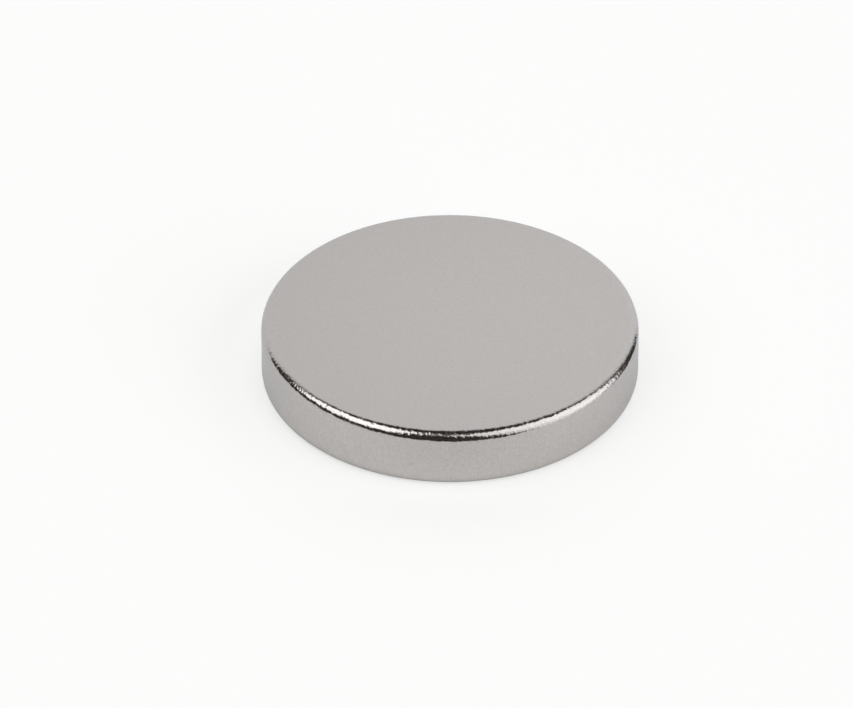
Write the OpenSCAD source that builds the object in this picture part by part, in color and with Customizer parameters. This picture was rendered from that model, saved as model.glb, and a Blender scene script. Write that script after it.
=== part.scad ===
// Disc magnet: a flat round magnet, pressed and sintered as one piece, tumbled so that
// its edges are rounded, and plated. Its axis is Z and it lies on its lower pole face.

/* [Disc] */
// Diameter of the disc, across its side wall
disc_d = 30; // [6:0.5:100]
// Height of the disc, from one pole face to the other
disc_h = 5; // [1:0.5:40]

/* [Edges] */
// Radius that tumbling wears onto the edge of each pole face
edge_r = 0.75; // [0.1:0.05:2]

/* [Hidden] */

// Straight facets in a full turn, for the preview
$fn = 180;

// Radius of the disc, out to its side wall
disc_r = disc_d / 2;
// Most of the disc's height, or of its radius, that one rounded edge may take
edge_share = 0.45;
// Edge radius, no larger than the side wall and the pole face leave room for
rim_r = min(edge_r, edge_share * min(disc_h, disc_r));
// Radius of a pole face, out to where its edge begins to round
face_r = disc_r - rim_r;
// Height of the straight side wall, between the two rounded edges
wall_h = disc_h - 2 * rim_r;

// Half of the disc's section, from the axis out: as wide as a pole face at full height,
// as wide as the disc along the side wall, and a round of rim_r at each outer corner
module half_section() {
    square([face_r, disc_h]);
    translate([0, rim_r])
        square([disc_r, wall_h]);
    for (z = [rim_r, disc_h - rim_r])
        translate([face_r, z])
            circle(r = rim_r);
}

// The whole magnet, one solid of revolution
module magnet() {
    color([0.71, 0.70, 0.69])
        rotate_extrude()
            half_section();
}

magnet();
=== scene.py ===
import math

import bpy
import numpy as np
from bpy.props import FloatProperty, FloatVectorProperty, IntProperty, PointerProperty
from mathutils import Matrix, Vector


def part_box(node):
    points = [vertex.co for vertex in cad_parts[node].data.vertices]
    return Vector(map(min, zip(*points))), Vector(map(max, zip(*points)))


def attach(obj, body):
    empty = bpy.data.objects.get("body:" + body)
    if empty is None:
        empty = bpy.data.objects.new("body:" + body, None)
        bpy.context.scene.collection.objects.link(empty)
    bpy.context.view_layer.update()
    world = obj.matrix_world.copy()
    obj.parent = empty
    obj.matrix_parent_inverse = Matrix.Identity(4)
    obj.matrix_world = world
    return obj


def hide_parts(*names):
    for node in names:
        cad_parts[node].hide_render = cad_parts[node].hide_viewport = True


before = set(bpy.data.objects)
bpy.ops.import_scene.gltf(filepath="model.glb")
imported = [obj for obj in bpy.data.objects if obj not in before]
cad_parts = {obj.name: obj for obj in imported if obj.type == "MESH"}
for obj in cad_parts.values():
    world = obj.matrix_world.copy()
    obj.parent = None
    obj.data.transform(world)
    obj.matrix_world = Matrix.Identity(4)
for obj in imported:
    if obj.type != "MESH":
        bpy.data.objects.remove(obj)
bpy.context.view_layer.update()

bl_info = {
    "name": "Disc magnet",
    "version": (1, 0, 0),
    "blender": (4, 5, 0),
    "location": "View3D > Sidebar > Magnet",
    "description": "Builds a nickel plated disc magnet and the small studio that lights it",
    "category": "Add Mesh",
}

NODE = "magnet"
LOW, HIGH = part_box(NODE)

# Fewest steps of the mesh down a rounded edge
FEWEST_STEPS = 4
# How far the grain runs on past each end of the rounded edge, as a share of its radius
GRAIN_MARGIN = 0.25
# How many steps of the mesh lie between the last grain and the end of that margin
GRAIN_GAP = 1.5
# Seed of the random pits
GRAIN_SEED = 5
# Rings of points on a face, as shares of the radius that the margin leaves free
FACE_RINGS = (0.2, 0.45, 0.7, 0.88, 0.97)
# The ring of points on each half of the wall, as a share of the height that is left free
WALL_RING = 0.4

# Where the satin of a face, and of the wall, ends and where the polish of the edge is full.
# Both are distances in from the disc's outline, as shares of the edge radius.
FACE_BLEND = (1.3, 0.6)
WALL_BLEND = (1.2, 0.6)
# Width of a speck of the plate, and of a dent in the polished edge, in metres
SPECK_WIDTH = 0.00018
# Depth of those dents, in metres
DENT_DEPTH = 0.000015
# How strongly the specks show on the faces, and how much more on the wall
FACE_SPECKS = 0.8
WALL_SPECKS = 1.2
# Width of a cloud in the plate, in metres, and how much clouds change its roughness
CLOUD_WIDTH = 0.0045
CLOUD_ROUGHNESS = 0.02
# How many finer layers of noise the specks, the clouds and the dents have
SPECK_DETAIL = 1.0
CLOUD_DETAIL = 3.0
DENT_DETAIL = 0.0
# Painted shade in the plate's colour on the faces and their rounded edges, as light falls on them:
# how much darker it is painted towards -X and lighter towards +X, and how much darker at the rim
SIDE_PAINTED_SHADE = 0.036
RIM_PAINTED_SHADE = 0.03
# How far nickel's mirror falls short of a plain metal's at a grazing look, in red, green, blue
EDGE_TINT = (0.87, 0.89, 0.915)

WHITE = (1.0, 1.0, 1.0)
BLACK = (0.0, 0.0, 0.0)
# Half the width of the floor, in metres
FLOOR_REACH = 3.0
# How much of the floor's colour takes light and shadow, and how much glows by itself
FLOOR_DEPTH = 0.5
FLOOR_LIFT = 0.69
# The same for the white sheet under the disc, which the wall mirrors
SHEET_DEPTH = 1.0
SHEET_LIFT = 0.12
# The sheet's near right corner, the ways its two sides run from there, and their length in
# metres
SHEET_CORNER = Vector((0.0453, -0.0197, 0.00001))
SHEET_ASIDE = Vector((-0.994, -0.11, 0.0))
SHEET_BEHIND = Vector((-0.61, 0.792, 0.0))
SHEET_LENGTH = 1.0
# Corners of the cards that the metal mirrors, from the lower left round by the top. Each is
# the direction that it's seen in from the disc, as azimuth and elevation in degrees.
BACKDROP = ((-124, -16), (-125.5, 58.5), (108, 58.7), (150.4, -40))
LEFT_SOFTBOX = ((-99.5, 24.2), (-116.5, 50.6), (-14.5, 65.2), (-34, 21))
RIGHT_SOFTBOX = ((45.5, -16), (-9.3, 50.2), (112.5, 37.5), (107.6, -5))
# How far away the backdrop and the softboxes stand, in metres
BACKDROP_DISTANCE = 2.0
SOFTBOX_DISTANCE = 1.0
# Where each card is brightest, as shares of its width and height from its lower left corner
BACKDROP_HOT_SPOT = (1.0, 0.5)
LEFT_HOT_SPOT = (0.5, 0.5)
RIGHT_HOT_SPOT = (0.65, 0.62)
# How much of its brightness each card has lost at a whole width or height from there
BACKDROP_FALLOFF = 0.08
LEFT_FALLOFF = 0.2
RIGHT_FALLOFF = 0.7
# The uppermost share of the backdrop's height, over which it fades to dark
BACKDROP_FADE = 0.42
# Soft lamps that light the floor: name, azimuth and elevation in degrees, width and height
# in metres, brightness of the front where 1 is white
LAMPS = (
    ("left_lamp", -67, 42, 4.8, 3.2, 1.27),
    ("right_lamp", 62, 24, 4.8, 3.6, 1.82),
    ("back_lamp", 180, 25, 8.8, 3.2, 1.03),
    ("top_lamp", 0, 85, 3.2, 3.2, 1.63),
)
# How far away the lamps stand, in metres
LAMP_DISTANCE = 4.0
# The black tent: its radius in metres, its rows and columns of points, and the elevation of
# its uppermost row in degrees
TENT_RADIUS = 5.0
TENT_ROWS = 22
TENT_COLUMNS = 48
TENT_TOP = 84
# How far the camera aims right of the disc's centre and above it, in metres: less than 0 is
# to the left and below
AIM = (-0.001866, -0.00056)
# Width of the camera's sensor, in millimetres
SENSOR_WIDTH = 36.0


# ---------------------------------------------------------------- settings

class DiscSettings(bpy.types.PropertyGroup):
    """Sizes and finish of the magnet itself."""

    diameter: FloatProperty(
        name="Diameter", description="Across the side wall",
        default=HIGH.x - LOW.x, min=0.002, unit="LENGTH", precision=5)
    height: FloatProperty(
        name="Height", description="From one pole face to the other",
        default=HIGH.z - LOW.z, min=0.0005, unit="LENGTH", precision=5)
    edge_radius: FloatProperty(
        name="Edge radius", description="Radius that tumbling wore onto both edges",
        default=0.00075, min=0.0001, unit="LENGTH", precision=5)
    grain_size: FloatProperty(
        name="Grain size", description="Width of the pits in the tumbled edges",
        default=0.00003, min=0.00001, unit="LENGTH", precision=6)
    grain_slope: FloatProperty(
        name="Grain slope", description="Typical slope of the sides of those pits",
        default=0.09, min=0.0, max=0.5)
    segments: IntProperty(
        name="Segments", description="Steps round the disc", default=1520, min=48)
    plate_color: FloatVectorProperty(
        name="Plate colour", description="Colour of the nickel plate",
        default=(0.60, 0.577, 0.563), min=0.0, max=1.0, subtype="COLOR")
    speckle: FloatProperty(
        name="Speckle", description="How much the plate's brightness varies from speck to speck",
        default=0.08, min=0.0, max=1.0, subtype="FACTOR")
    face_roughness: FloatProperty(
        name="Face roughness", description="Roughness of the ground faces and wall",
        default=0.24, min=0.0, max=1.0, subtype="FACTOR")
    edge_roughness: FloatProperty(
        name="Edge roughness", description="Roughness of the tumbled edges",
        default=0.15, min=0.0, max=1.0, subtype="FACTOR")


class StudioSettings(bpy.types.PropertyGroup):
    """Floor, cards, lamps and camera."""

    floor_color: FloatVectorProperty(
        name="Floor", description="Colour of the pale floor",
        default=(0.9, 0.9, 0.896), min=0.0, max=1.0, subtype="COLOR")
    sheet_color: FloatVectorProperty(
        name="Sheet", description="Colour of the sheet under the disc, as the metal sees it",
        default=(0.9, 0.895, 0.885), min=0.0, max=1.0, subtype="COLOR")
    backdrop_color: FloatVectorProperty(
        name="Backdrop", description="Brightness of the card behind the disc, as the metal sees it",
        default=(0.85, 0.85, 0.85), min=0.0, max=1.0, subtype="COLOR")
    room_color: FloatVectorProperty(
        name="Room", description="Brightness of the dark room, as the metal sees it",
        default=(0.040, 0.034, 0.031), min=0.0, max=1.0, subtype="COLOR")
    left_level: FloatProperty(
        name="Left softbox", description="Brightness of the left softbox's front",
        default=1.86, min=0.0)
    right_level: FloatProperty(
        name="Right softbox", description="Brightness of the right softbox's front",
        default=1.62, min=0.0)
    lamp_level: FloatProperty(
        name="Lamps", description="Brightness of the soft lamps that light the floor",
        default=1.0, min=0.0)
    elevation: FloatProperty(
        name="Camera elevation", description="Height of the camera above the horizon",
        default=math.radians(36.5), subtype="ANGLE")
    roll: FloatProperty(
        name="Camera roll", description="Turn of the camera about the line it looks along",
        default=math.radians(0.04), subtype="ANGLE")
    distance: FloatProperty(
        name="Camera distance", description="From the disc's centre to the camera",
        default=0.8955, min=0.05, unit="LENGTH")
    field: FloatProperty(
        name="Field width", description="Width of the picture at the disc's centre",
        default=0.0679, min=0.01, unit="LENGTH")


# ---------------------------------------------------------------- shader maths

class Sock:
    """A shader socket that takes part in Python arithmetic: + - * / ** and abs() add Math
    nodes."""

    def __init__(self, shader, socket):
        self.shader = shader
        self.socket = socket

    def _math(self, operation, *values):
        return self.shader.node("ShaderNodeMath", {"operation": operation}, *values)["Value"]

    def __add__(self, other):
        return self._math("ADD", self, other)

    def __radd__(self, other):
        return self._math("ADD", other, self)

    def __sub__(self, other):
        return self._math("SUBTRACT", self, other)

    def __rsub__(self, other):
        return self._math("SUBTRACT", other, self)

    def __mul__(self, other):
        return self._math("MULTIPLY", self, other)

    def __rmul__(self, other):
        return self._math("MULTIPLY", other, self)

    def __truediv__(self, other):
        return self._math("DIVIDE", self, other)

    def __pow__(self, other):
        return self._math("POWER", self, other)

    def __abs__(self):
        return self._math("ABSOLUTE", self)

    def clamp(self):
        """The same value, held between 0 and 1."""
        return self.shader.node("ShaderNodeClamp", {}, self)["Result"]

    def step(self, start, end):
        """0 below start, 1 above end and a smooth rise between."""
        return self.shader.node(
            "ShaderNodeMapRange", {"interpolation_type": "SMOOTHSTEP"},
            Value=self, **{"From Min": start, "From Max": end})["Result"]


class Shader:
    """The node tree of a material or a world, which starts empty."""

    def __init__(self, owner):
        owner.use_nodes = True
        self.tree = owner.node_tree
        self.tree.nodes.clear()

    def node(self, kind, settings, *values, **named):
        """Adds a node, sets its settings first and then its sockets, by their order or by
        their names, and returns its outputs by their names."""
        made = self.tree.nodes.new(kind)
        for name, value in settings.items():
            setattr(made, name, value)
        usable = {socket.name: socket for socket in made.inputs if socket.enabled}
        sockets = list(zip(made.inputs, values)) + [(usable[n], v) for n, v in named.items()]
        for socket, value in sockets:
            if isinstance(value, Sock):
                self.tree.links.new(value.socket, socket)
            else:
                socket.default_value = value
        return {out.name: Sock(self, out) for out in made.outputs if out.enabled}

    def mix(self, factor, first, second):
        """The first colour where the factor is 0, and the second where it is 1."""
        return self.node(
            "ShaderNodeMix", {"data_type": "RGBA"}, Factor=factor, A=first, B=second)["Result"]

    def noise(self, place, width, detail):
        """Smooth noise between 0 and 1, with cells of that width."""
        return self.node(
            "ShaderNodeTexNoise", {}, Vector=place, Scale=1 / width, Detail=detail)["Fac"]

    def glow(self, color, strength):
        """Light of that colour and strength, the same in every direction."""
        return self.node("ShaderNodeEmission", {}, color, strength)["Emission"]

    def finish(self, surface):
        """Makes that the surface of the material."""
        self.node("ShaderNodeOutputMaterial", {}, surface)


def new_material(name):
    """A node material and its empty shader. If it glows, it is seen but isn't a lamp."""
    material = bpy.data.materials.new(name)
    material.cycles.emission_sampling = "NONE"
    return material, Shader(material)


def rgba(color, brightness=1.0):
    """A colour with its brightness multiplied, as a socket takes it."""
    return tuple(brightness * channel for channel in color) + (1.0,)


# ---------------------------------------------------------------- the disc's shape

def half_profile(radius, half_height, edge, pitch):
    """The section from the upper face down towards the middle of the wall, as radius, height
    above the middle, the turn of its normal from the vertical, and how much grain it takes.
    The face is straight, then a quarter circle of the edge radius turns it down into the
    wall. The grain fades out over a margin on both sides of that quarter circle."""
    face = radius - edge
    quarter = math.pi / 2 * edge
    margin = GRAIN_MARGIN * edge
    steps = max(FEWEST_STEPS, round((quarter + 2 * margin) / pitch))
    along = np.linspace(-margin, quarter + margin, steps + 1)
    turn = np.clip(along / edge, 0, math.pi / 2)
    inward = np.clip(-along, 0, None)
    down = np.clip(along - quarter, 0, None)
    edge_r = face - inward + edge * np.sin(turn)
    edge_z = half_height - edge + edge * np.cos(turn) - down
    grain = 1 - np.clip((inward + down) / (margin - GRAIN_GAP * pitch), 0, 1)
    rings = (face - margin) * np.array(FACE_RINGS)
    r = np.concatenate([rings, edge_r, [radius]])
    z = np.concatenate([np.full(len(rings), half_height), edge_z, [WALL_RING * edge_z[-1]]])
    turn = np.concatenate([np.zeros(len(rings)), turn, [math.pi / 2]])
    grain = np.concatenate([np.zeros(len(rings)), grain, [0.0]])
    return r, z, turn, grain


def pitted(rows, columns, pitch, size, slope):
    """A height map of random pits and bumps about a mean of 0, closed on itself from the last
    column to the first. White noise is blurred by a Gaussian of the grain's size in both
    directions, through its Fourier transform, and scaled to the slope."""
    noise = np.random.default_rng(GRAIN_SEED).standard_normal((rows, columns))
    row_wave = np.fft.fftfreq(rows, pitch)[:, None]
    column_wave = np.fft.fftfreq(columns, pitch)[None, :]
    blur = np.exp(-2 * (math.pi * size) ** 2 * (row_wave ** 2 + column_wave ** 2))
    height = np.fft.ifft2(np.fft.fft2(noise) * blur).real
    return height * slope * size * math.sqrt(2) / height.std()


def woven(rows, columns):
    """Faces of a grid that is closed round the axis, with its points row by row from the top
    down. The last two points are the upper and the lower pole: a fan of triangles joins each
    to its nearest row."""
    column = np.arange(columns)
    after = np.roll(column, -1)
    row = np.arange(rows - 1)[:, None] * columns
    quads = np.stack([row + column, row + columns + column,
                      row + columns + after, row + after], axis=-1).reshape(-1, 4)
    last = (rows - 1) * columns
    top, bottom = rows * columns, rows * columns + 1
    fans = np.concatenate([
        np.stack([np.full(columns, top), column, after], axis=-1),
        np.stack([np.full(columns, bottom), last + after, last + column], axis=-1),
    ])
    return quads, fans


def disc_mesh(settings):
    """The disc's surface: the half section and its mirror image, carried round the axis. A
    point lies at its section's radius and height, moved along its normal by the grain, but
    never out past the wall or a face, so that the grain only cuts into those. The grid is
    closed round the axis, and a fan of triangles closes each face at its centre."""
    radius = settings.diameter / 2
    half = settings.height / 2
    columns = settings.segments
    pitch = 2 * math.pi * radius / columns
    r, z, turn, grain = half_profile(radius, half, settings.edge_radius, pitch)
    rows = 2 * len(r)
    r = np.concatenate([r, r[::-1]])
    z = np.concatenate([z, -z[::-1]]) + half
    turn = np.concatenate([turn, math.pi - turn[::-1]])
    grain = np.concatenate([grain, grain[::-1]])
    depth = grain[:, None] * pitted(
        rows, columns, pitch, settings.grain_size, settings.grain_slope)
    around = np.arange(columns) * 2 * math.pi / columns
    out = np.minimum(r[:, None] + depth * np.sin(turn)[:, None], radius)
    points = np.stack([
        out * np.cos(around),
        out * np.sin(around),
        np.clip(z[:, None] + depth * np.cos(turn)[:, None], 0, 2 * half),
    ], axis=-1).reshape(-1, 3)
    points = np.vstack([points, [[0, 0, 2 * half], [0, 0, 0]]])
    return points, *woven(rows, columns)


def mesh_object(name, points, quads, caps):
    """A smooth mesh object from arrays of points, four-sided faces and triangles."""
    mesh = bpy.data.meshes.new(name)
    sides = np.concatenate([np.full(len(quads), 4), np.full(len(caps), 3)])
    mesh.vertices.add(len(points))
    mesh.vertices.foreach_set("co", points.astype(np.float32).ravel())
    mesh.loops.add(int(sides.sum()))
    mesh.loops.foreach_set("vertex_index", np.concatenate([quads.ravel(), caps.ravel()]))
    mesh.polygons.add(len(sides))
    mesh.polygons.foreach_set("loop_start", np.concatenate([[0], np.cumsum(sides)[:-1]]))
    mesh.polygons.foreach_set("use_smooth", np.ones(len(sides), bool))
    mesh.update(calc_edges=True)
    mesh.validate()
    made = bpy.data.objects.new(name, mesh)
    bpy.context.scene.collection.objects.link(made)
    return made


# ---------------------------------------------------------------- nickel plate

def nickel_plate(settings):
    """Nickel over a tumbled, sintered disc: satin on the faces and the wall, and brighter and
    dented on the edges. It varies from speck to speck and has faint clouds. Its colour also
    carries painted shade: a little darker towards -X, lighter towards +X and darker towards
    the rim of each face."""
    material, shader = new_material("nickel plate")
    place = shader.node("ShaderNodeTexCoord", {})["Object"]
    x, y, z = shader.node("ShaderNodeSeparateXYZ", {}, place).values()
    radius = settings.diameter / 2
    half = settings.height / 2
    edge = settings.edge_radius

    out = (x * x + y * y) ** 0.5
    up = abs(z - half)
    beyond_face = out.step(radius - FACE_BLEND[0] * edge, radius - FACE_BLEND[1] * edge)
    beyond_wall = up.step(half - WALL_BLEND[0] * edge, half - WALL_BLEND[1] * edge)
    on_wall = out.step(radius - edge, radius)
    worn = beyond_face * beyond_wall

    speck = shader.noise(place, SPECK_WIDTH, SPECK_DETAIL)
    spread = (speck - 0.5) * (FACE_SPECKS + WALL_SPECKS * on_wall)
    dull = rgba(settings.plate_color, 1 - settings.speckle)
    bright = rgba(settings.plate_color, 1 + settings.speckle)
    specked = shader.mix(0.5 + spread, dull, bright)
    share = out / radius
    # Painted shade: the faces' colour is darker towards -X, lighter towards +X and darker towards
    # their rim
    painted_shade = 1 + (x * (SIDE_PAINTED_SHADE / radius) - share * share * RIM_PAINTED_SHADE) * beyond_wall
    color = shader.node(
        "ShaderNodeVectorMath", {"operation": "SCALE"}, Vector=specked, Scale=painted_shade)["Vector"]

    satin = settings.face_roughness
    cloud = shader.noise(place, CLOUD_WIDTH, CLOUD_DETAIL)
    rough = satin + (settings.edge_roughness - satin) * worn + (cloud - 0.5) * CLOUD_ROUGHNESS
    dent = (shader.noise(place, SPECK_WIDTH, DENT_DETAIL) - 0.5) * worn
    bump = shader.node(
        "ShaderNodeBump", {}, Strength=1.0, Distance=DENT_DEPTH, Height=dent)["Normal"]
    shader.finish(shader.node(
        "ShaderNodeBsdfPrincipled", {},
        **{"Base Color": color, "Metallic": 1.0, "Roughness": rough.clamp(),
           "Specular Tint": rgba(EDGE_TINT), "Normal": bump})["BSDF"])
    return material


class MAGNET_OT_plated_disc(bpy.types.Operator):
    """Build the plated disc and put it in place of the plain one"""

    bl_idname = "magnet.plated_disc"
    bl_label = "Plated disc"
    bl_options = {"REGISTER", "UNDO"}

    def execute(self, context):
        settings = context.scene.magnet_disc
        room = min(settings.diameter, settings.height) / 2
        if settings.edge_radius * (1 + GRAIN_MARGIN) >= room:
            raise ValueError("The edge radius leaves no room for the faces or the wall")
        disc = mesh_object("plated_disc", *disc_mesh(settings))
        disc.data.materials.append(nickel_plate(settings))
        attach(disc, "root")
        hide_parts(NODE)
        return {"FINISHED"}


# ---------------------------------------------------------------- the studio

def direction(azimuth, elevation):
    """Unit vector towards a point of the sky. Azimuth is in degrees from the front (-Y)
    round by the right (+X), and elevation in degrees above the horizon."""
    a, e = math.radians(azimuth), math.radians(elevation)
    return Vector((math.sin(a) * math.cos(e), -math.cos(a) * math.cos(e), math.sin(e)))


def facing(towards, distance, roll=0.0):
    """Placement of something that stands at that distance and looks back at the origin."""
    turn = towards.to_track_quat("Z", "Y").to_matrix().to_4x4()
    return Matrix.Translation(towards * distance) @ turn @ Matrix.Rotation(roll, 4, "Z")


def lit_front(name, color, level, falloff, hot_spot, fade=0.0):
    """The lit front of a card. It's brightest at its hot spot, given as shares of the card's
    width and height, and falls off in step with the distance from there. It fades to dark
    over the uppermost share of its height that fade names."""
    material, shader = new_material(name)
    across = shader.node("ShaderNodeUVMap", {})["UV"]
    u, v, _ = shader.node("ShaderNodeSeparateXYZ", {}, across).values()
    share = 1 - falloff * ((u - hot_spot[0]) ** 2 + (v - hot_spot[1]) ** 2) ** 0.5
    if fade:
        share = share * (1 - v).step(0.0, fade)
    shader.finish(shader.glow(shader.mix(share, rgba(BLACK), rgba(color)), level))
    return material


def pale_surface(color, depth, lift):
    """A pale surface: matt to the depth given, so that it takes the disc's shadow, and
    lifted by a glow of its own."""
    material, shader = new_material("pale floor")
    matt = shader.node("ShaderNodeBsdfDiffuse", {}, rgba(color, depth))["BSDF"]
    glowing = shader.glow(rgba(color), lift)
    shader.finish(shader.node("ShaderNodeAddShader", {}, matt, glowing)["Shader"])
    return material


def aimed(corners, distance):
    """Corners of a flat card that faces the origin from that distance. Each corner is given
    by the direction that it's seen in, as azimuth and elevation in degrees."""
    rays = [direction(*corner) for corner in corners]
    middle = sum(rays, Vector()).normalized()
    return [ray * distance / ray.dot(middle) for ray in rays]


def show_to(thing, **seen_by):
    """Shows a thing to the kinds of ray that are named, and to no other."""
    for kind in ("camera", "diffuse", "glossy", "transmission", "shadow"):
        setattr(thing, "visible_" + kind, seen_by.get(kind, False))


def flat_card(name, corners, material, **seen_by):
    """A four-sided flat card, seen only by the kinds of ray that are named."""
    mesh = bpy.data.meshes.new(name)
    mesh.from_pydata([tuple(c) for c in corners], [], [(0, 1, 2, 3)])
    mesh.uv_layers.new(name="across").data.foreach_set("uv", [0, 0, 0, 1, 1, 1, 1, 0])
    card = bpy.data.objects.new(name, mesh)
    mesh.materials.append(material)
    bpy.context.scene.collection.objects.link(card)
    show_to(card, **seen_by)


def lamp(name, azimuth, elevation, width, height, level):
    """A soft lamp that lights the floor but isn't seen by camera or metal. Its power makes
    its front as bright as level, where 1 is white."""
    data = bpy.data.lights.new(name, "AREA")
    data.shape = "RECTANGLE"
    data.size = width
    data.size_y = height
    data.energy = math.pi * width * height * level
    lit = bpy.data.objects.new(name, data)
    lit.matrix_world = facing(direction(azimuth, elevation), LAMP_DISTANCE)
    lit.visible_camera = False
    lit.visible_glossy = False
    bpy.context.scene.collection.objects.link(lit)


def black_tent(settings):
    """A tent of black cloth round the studio, which the metal mirrors between the cards. It
    is a sphere: a point lies at the tent's radius in the direction of its azimuth, which
    runs along a row, and its elevation, which runs from row to row."""
    azimuth = np.arange(TENT_COLUMNS) * 2 * math.pi / TENT_COLUMNS
    elevation = np.radians(np.linspace(TENT_TOP, -TENT_TOP, TENT_ROWS))[:, None]
    points = TENT_RADIUS * np.stack([
        np.sin(azimuth) * np.cos(elevation),
        -np.cos(azimuth) * np.cos(elevation),
        np.sin(elevation) + 0 * azimuth,
    ], axis=-1).reshape(-1, 3)
    points = np.vstack([points, [[0, 0, TENT_RADIUS], [0, 0, -TENT_RADIUS]]])
    tent = mesh_object("black_tent", points, *woven(TENT_ROWS, TENT_COLUMNS))
    cloth, shader = new_material("black cloth")
    shader.finish(shader.glow(rgba(settings.room_color), 1.0))
    tent.data.materials.append(cloth)
    show_to(tent, glossy=True)


def white_world():
    """White to the camera and in the metal, and no light on anything else."""
    world = bpy.data.worlds.new("white")
    shader = Shader(world)
    rays = shader.node("ShaderNodeLightPath", {})
    seen = rays["Is Camera Ray"] + rays["Is Glossy Ray"] + rays["Is Transmission Ray"]
    lit = shader.node("ShaderNodeBackground", {}, rgba(WHITE), seen.clamp())["Background"]
    shader.node("ShaderNodeOutputWorld", {}, lit)
    world.cycles.sampling_method = "NONE"
    bpy.context.scene.world = world


def camera(settings, centre):
    """The camera, which looks down at the disc from the front and aims a little to the left
    of its centre and below it."""
    data = bpy.data.cameras.new("camera")
    data.sensor_width = SENSOR_WIDTH
    data.lens = data.sensor_width * settings.distance / settings.field
    back = direction(0, math.degrees(settings.elevation))
    view = bpy.data.objects.new("camera", data)
    view.matrix_world = facing(back, settings.distance, settings.roll)
    aside = view.matrix_world.to_3x3() @ Vector((*AIM, 0.0))
    view.matrix_world = Matrix.Translation(centre + aside) @ view.matrix_world
    bpy.context.scene.collection.objects.link(view)
    bpy.context.scene.camera = view


class MAGNET_OT_studio(bpy.types.Operator):
    """Build the floor and its lamps, the cards and tent that the metal mirrors, and the camera"""

    bl_idname = "magnet.studio"
    bl_label = "Studio"
    bl_options = {"REGISTER", "UNDO"}

    def execute(self, context):
        scene = context.scene
        settings = scene.magnet_studio
        reach = FLOOR_REACH
        flat_card(
            "floor",
            [(-reach, -reach, 0), (reach, -reach, 0), (reach, reach, 0), (-reach, reach, 0)],
            pale_surface(settings.floor_color, FLOOR_DEPTH, FLOOR_LIFT),
            camera=True, diffuse=True)
        aside = SHEET_ASIDE * SHEET_LENGTH
        behind = SHEET_BEHIND * SHEET_LENGTH
        flat_card(
            "sheet",
            [SHEET_CORNER, SHEET_CORNER + behind, SHEET_CORNER + behind + aside,
             SHEET_CORNER + aside],
            pale_surface(settings.sheet_color, SHEET_DEPTH, SHEET_LIFT), glossy=True)
        flat_card(
            "backdrop", aimed(BACKDROP, BACKDROP_DISTANCE),
            lit_front("backdrop", settings.backdrop_color, 1.0,
                      BACKDROP_FALLOFF, BACKDROP_HOT_SPOT, BACKDROP_FADE), glossy=True)
        flat_card(
            "left_softbox", aimed(LEFT_SOFTBOX, SOFTBOX_DISTANCE),
            lit_front("left softbox", WHITE, settings.left_level,
                      LEFT_FALLOFF, LEFT_HOT_SPOT), glossy=True)
        flat_card(
            "right_softbox", aimed(RIGHT_SOFTBOX, SOFTBOX_DISTANCE),
            lit_front("right softbox", WHITE, settings.right_level,
                      RIGHT_FALLOFF, RIGHT_HOT_SPOT), glossy=True)
        for name, azimuth, elevation, width, height, share in LAMPS:
            lamp(name, azimuth, elevation, width, height, share * settings.lamp_level)
        black_tent(settings)
        white_world()
        camera(settings, (LOW + HIGH) / 2)
        scene.view_settings.view_transform = "Standard"
        return {"FINISHED"}


# ---------------------------------------------------------------- add-on

class MAGNET_PT_sidebar(bpy.types.Panel):
    """Lists the magnet's operators and settings in the 3D view's sidebar"""

    bl_idname = "MAGNET_PT_sidebar"
    bl_label = "Disc magnet"
    bl_space_type = "VIEW_3D"
    bl_region_type = "UI"
    bl_category = "Magnet"

    def draw(self, context):
        column = self.layout.column()
        for operator, group in (
            (MAGNET_OT_plated_disc, context.scene.magnet_disc),
            (MAGNET_OT_studio, context.scene.magnet_studio),
        ):
            column.operator(operator.bl_idname)
            for name in group.bl_rna.properties.keys():
                if name not in ("rna_type", "name"):
                    column.prop(group, name)


CLASSES = (DiscSettings, StudioSettings, MAGNET_OT_plated_disc, MAGNET_OT_studio, MAGNET_PT_sidebar)


def register():
    """Registers the classes and hangs the settings on the scene."""
    for cls in CLASSES:
        bpy.utils.register_class(cls)
    bpy.types.Scene.magnet_disc = PointerProperty(type=DiscSettings)
    bpy.types.Scene.magnet_studio = PointerProperty(type=StudioSettings)


def unregister():
    """Takes the settings and the classes away again."""
    del bpy.types.Scene.magnet_studio
    del bpy.types.Scene.magnet_disc
    for cls in reversed(CLASSES):
        bpy.utils.unregister_class(cls)


def main():
    """Builds the disc and its studio."""
    register()
    bpy.ops.magnet.plated_disc()
    bpy.ops.magnet.studio()


if __name__ == "__main__":
    main()
